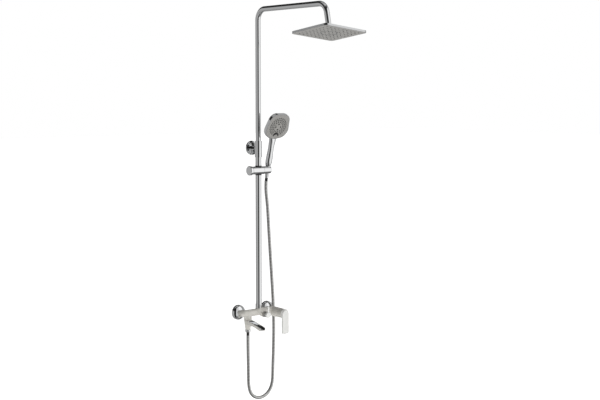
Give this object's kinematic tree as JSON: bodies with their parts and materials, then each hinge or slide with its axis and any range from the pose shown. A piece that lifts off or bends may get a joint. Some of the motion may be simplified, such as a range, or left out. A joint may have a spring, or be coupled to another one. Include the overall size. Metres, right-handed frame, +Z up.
{
  "type": "rainfall shower column",
  "caption": "Wall-mounted bath and shower mixer with a telescopic riser, bent arm and square rain head, a sliding holder with a hand shower, a flexible metal hose and a swivelling trough spout.",
  "frame": {"origin": "midway between the two wall inlets, on the finished wall plane", "axes": "+X to the right along the wall, -Y out of the wall into the room, +Z up"},
  "size_m": [0.2141, 0.6265, 1.662],
  "materials": {
    "chrome": "mirror chrome plate",
    "satin_nickel": "pale warm grey satin",
    "white_satin": "white satin enamel",
    "grey_face": "moulded grey matt",
    "dark_plastic": "black acetal",
    "rubber": "grey silicone",
    "hose_steel": "spiral wound steel",
    "brass": "machined brass"
  },
  "bodies": {
    "wall_mixer": {"s_unions": "brass", "inlet_seals": "rubber", "union_nuts": "brass", "left_escutcheon": "chrome", "right_escutcheon": "chrome", "mixer_body": "satin_nickel", "cartridge_body": "dark_plastic", "cartridge_nut": "brass", "cartridge_cover": "satin_nickel", "diverter_bush": "chrome", "base_seal": "rubber", "base_nut": "chrome", "lower_tube": "chrome", "bracket_collar": "chrome", "collar_bush": "dark_plastic", "collar_screw": "brass", "bracket_base": "brass", "bracket_flange": "chrome", "bracket_arm": "chrome", "hose": "hose_steel"},
    "upper_riser": {"telescope_piston": "brass", "piston_rings": "rubber", "upper_tube": "chrome", "arm_nipple": "brass", "nipple_rings": "rubber"},
    "arm": {"bent_arm": "chrome", "ball_stud": "chrome"},
    "ball_ring": {"ball_seat": "dark_plastic"},
    "rain_head": {"swivel_base": "chrome", "swivel_nut": "chrome", "head_shell": "chrome", "head_gasket": "rubber", "head_face": "grey_face", "head_nozzles": "rubber", "head_ring": "chrome"},
    "slider": {"slider_body": "chrome", "slider_bush": "dark_plastic", "clamp_pad": "dark_plastic", "pivot_pin": "brass", "friction_washer": "dark_plastic"},
    "clamp": {"clamp_knob": "chrome"},
    "socket": {"handset_socket": "chrome"},
    "handset": {"hose_cone_nut": "chrome", "hose_seal": "rubber", "handset_shell": "chrome", "handset_face": "grey_face", "handset_nozzles": "rubber", "centre_spray": "grey_face"},
    "button": {"mode_button": "grey_face"},
    "turret": {"cartridge_turret": "dark_plastic", "lever_pivot": "brass"},
    "lever": {"lever_stem": "brass", "lever": "white_satin", "lever_grub_screw": "brass"},
    "diverter": {"diverter_spindle": "brass", "diverter_knob": "white_satin"},
    "spout": {"spout": "satin_nickel", "spout_tray": "chrome", "spout_ring": "rubber", "hose_lower_nut": "chrome"}
  },
  "joints": [
    {"name": "riser_height", "type": "slide", "parent": "wall_mixer", "child": "upper_riser", "axis": [0, 0, 1], "range_m": [-0.3, 0.2]},
    {"name": "arm_swivel", "type": "hinge", "parent": "upper_riser", "child": "arm", "pos_m": [0, -0.049, 1.112], "axis": [0, 0, 1], "range_deg": [-60, 60]},
    {"name": "head_turn", "type": "hinge", "parent": "arm", "child": "ball_ring", "pos_m": [0, -0.50393, 1.17135], "axis": [0, 0.2164, 0.9763], "range_deg": [-90, 90]},
    {"name": "head_tilt", "type": "hinge", "parent": "ball_ring", "child": "rain_head", "pos_m": [0, -0.50393, 1.17135], "axis": [1, 0, 0], "range_deg": [-12, 12]},
    {"name": "holder_height", "type": "slide", "parent": "wall_mixer", "child": "slider", "axis": [0, 0, 1], "range_m": [-0.4, 0.03], "deforming": ["hose"]},
    {"name": "clamp_turn", "type": "hinge", "parent": "slider", "child": "clamp", "pos_m": [0, -0.049, 0.601], "axis": [1, 0, 0], "range_deg": [0, 180]},
    {"name": "socket_tilt", "type": "hinge", "parent": "slider", "child": "socket", "pos_m": [0.048, -0.049, 0.601], "axis": [1, 0, 0], "range_deg": [-8, 25]},
    {"name": "handset_lift", "type": "slide", "parent": "socket", "child": "handset", "axis": [0, -0.2079, 0.9781], "range_m": [0, 0.05]},
    {"name": "mode_press", "type": "slide", "parent": "handset", "child": "button", "axis": [0, 0.8949, 0.4462], "range_m": [0, 0.002], "stiffness_N_per_m": 300, "springref_m": -0.002},
    {"name": "lever_turn", "type": "hinge", "parent": "wall_mixer", "child": "turret", "pos_m": [0.075, -0.049, -0.006], "axis": [0, -1, 0], "range_deg": [-45, 45]},
    {"name": "lever_lift", "type": "hinge", "parent": "turret", "child": "lever", "pos_m": [0.075, -0.09, -0.006], "axis": [-1, 0, 0], "range_deg": [0, 25]},
    {"name": "diverter_turn", "type": "hinge", "parent": "wall_mixer", "child": "diverter", "pos_m": [0.017, -0.049, -0.01], "axis": [0, -1, 0], "range_deg": [-90, 90]},
    {"name": "spout_swing", "type": "hinge", "parent": "wall_mixer", "child": "spout", "pos_m": [-0.058, -0.049, -0.0265], "axis": [0, 0, 1], "range_deg": [-50, 50]}
  ]
}
